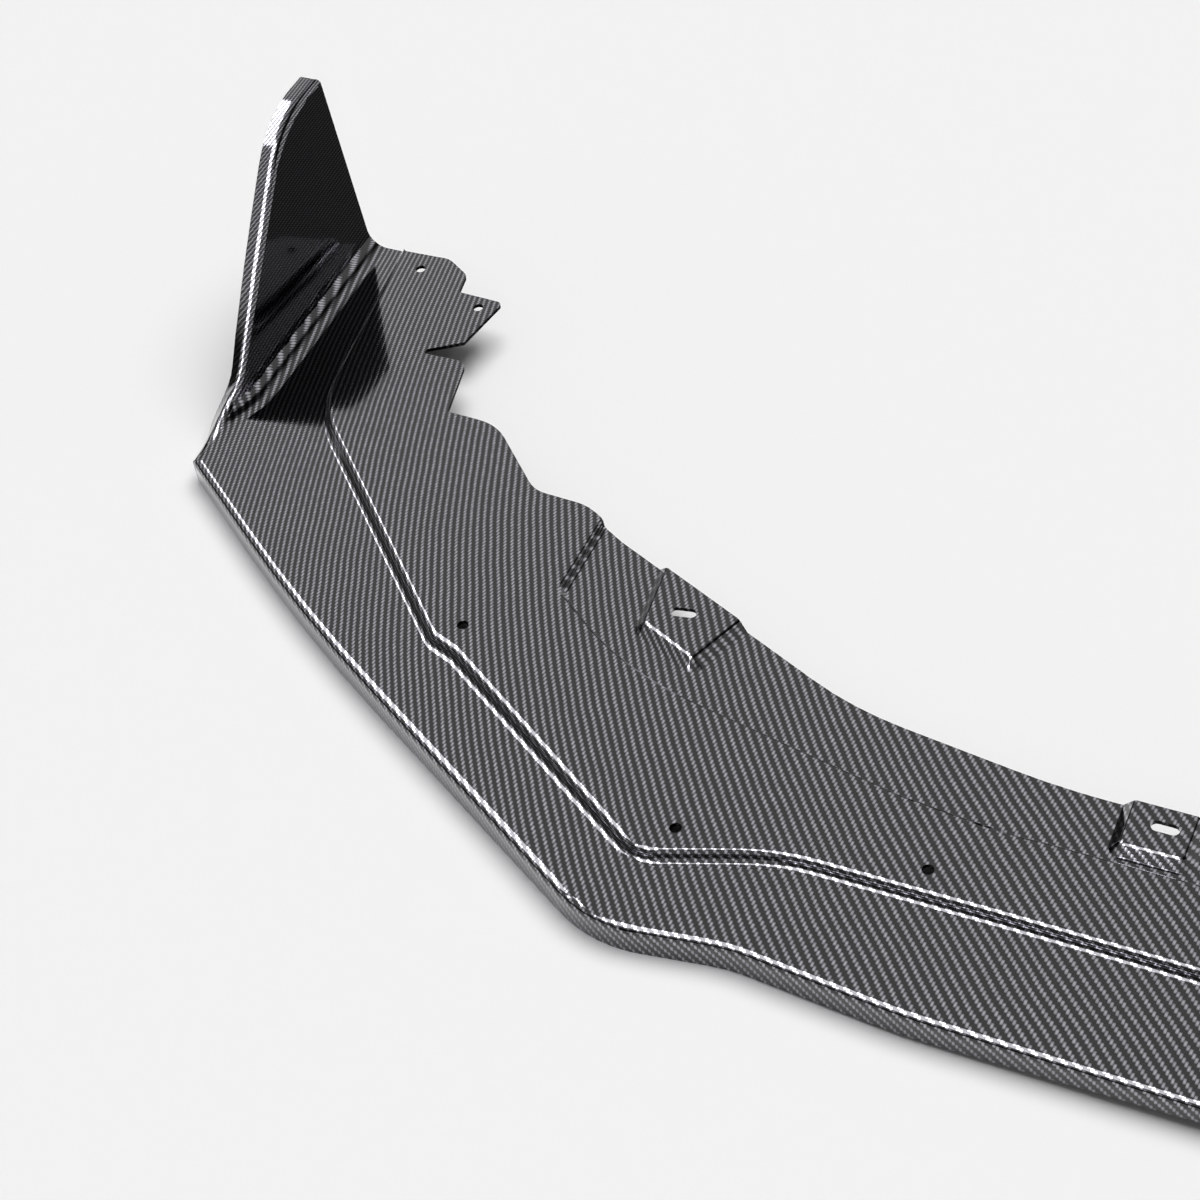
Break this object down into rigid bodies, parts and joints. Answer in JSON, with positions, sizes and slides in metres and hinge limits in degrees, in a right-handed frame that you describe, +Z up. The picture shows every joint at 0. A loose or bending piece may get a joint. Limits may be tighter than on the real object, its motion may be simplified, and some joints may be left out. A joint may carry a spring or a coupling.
{
  "type": "front splitter lip",
  "caption": "Front splitter lip moulded in one piece: flat blade with a turned-down rim, raised bumper flange, slotted pads and an upswept fin at each end.",
  "frame": {"origin": "bottom centre of the bounding box, on the floor that the rim rests on", "axes": "+Z up, -Y towards the front of the car, +X across it"},
  "size_m": [1.8306, 0.545, 0.184],
  "materials": {
    "carbon_laminate": "woven carbon under gloss clear coat"
  },
  "bodies": {
    "root": {"splitter_lip": "carbon_laminate"}
  },
  "joints": []
}
